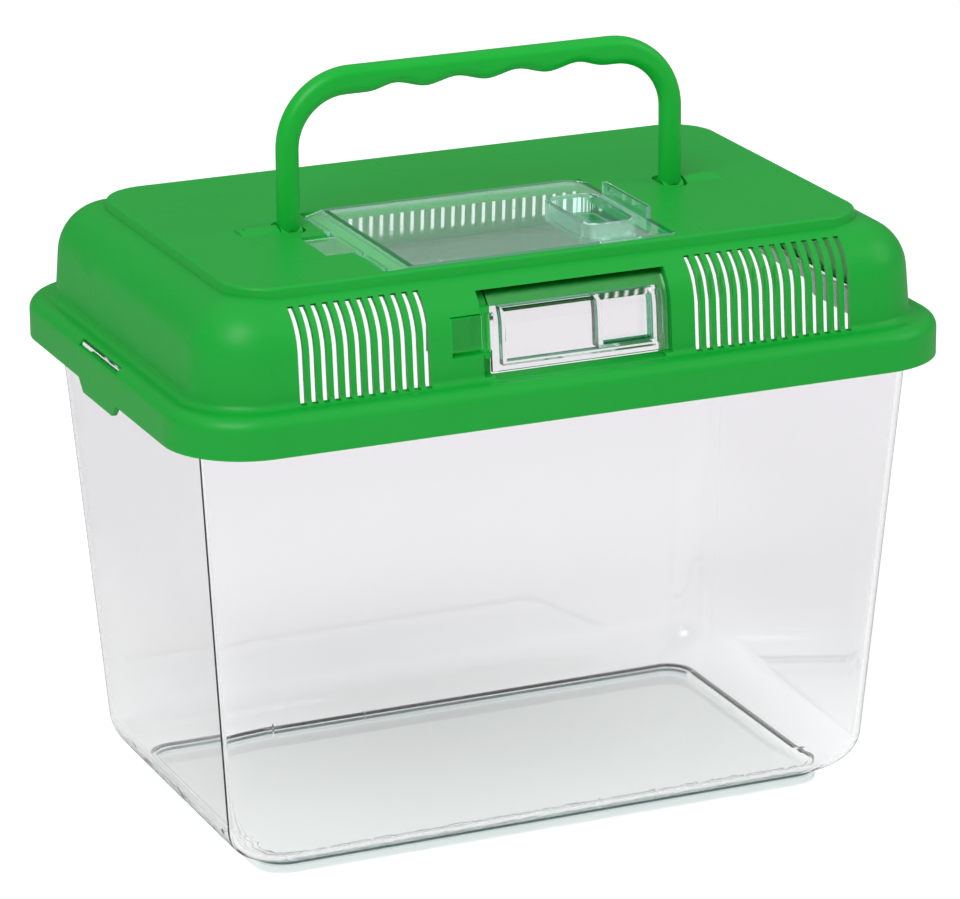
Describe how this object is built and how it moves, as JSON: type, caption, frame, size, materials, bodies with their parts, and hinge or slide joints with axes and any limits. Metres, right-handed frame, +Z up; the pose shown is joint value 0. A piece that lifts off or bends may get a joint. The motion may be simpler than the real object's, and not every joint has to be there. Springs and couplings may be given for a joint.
{
  "type": "plastic pet keeper",
  "caption": "Clear plastic tank for small pets with a domed slotted lid, a tilting carry handle and two clear hinged feeding flaps.",
  "frame": {"origin": "middle of the underside of the tank's foot, on the surface it stands on", "axes": "+X along the long side to the right seen from the front, -Y towards the front window, +Z up"},
  "size_m": [0.3, 0.2002, 0.2823],
  "materials": {
    "clear_plastic": "clear moulded polystyrene",
    "green_plastic": "semi-gloss moulded polypropylene"
  },
  "bodies": {
    "tank_body": {"tank": "clear_plastic"},
    "lid_body": {"lid": "green_plastic"},
    "handle_body": {"carry_handle": "green_plastic"},
    "hatch_body": {"top_hatch": "clear_plastic"},
    "window_body": {"front_window": "clear_plastic"}
  },
  "joints": [
    {"name": "lid_lift", "type": "slide", "parent": "tank_body", "child": "lid_body", "axis": [0, 0, 1], "range_m": [0, 0.12]},
    {"name": "handle_tilt", "type": "hinge", "parent": "lid_body", "child": "handle_body", "pos_m": [0, -0.0034, 0.2213], "axis": [-1, 0, 0], "range_deg": [-15, 40]},
    {"name": "hatch_hinge", "type": "hinge", "parent": "lid_body", "child": "hatch_body", "pos_m": [-0.0656, -0.029, 0.2229], "axis": [0, -1, 0], "range_deg": [0, 22]},
    {"name": "window_hinge", "type": "hinge", "parent": "lid_body", "child": "window_body", "pos_m": [-0.0356, -0.08689, 0.2], "axis": [0, -0.0785, -0.9969], "range_deg": [0, 70]}
  ]
}
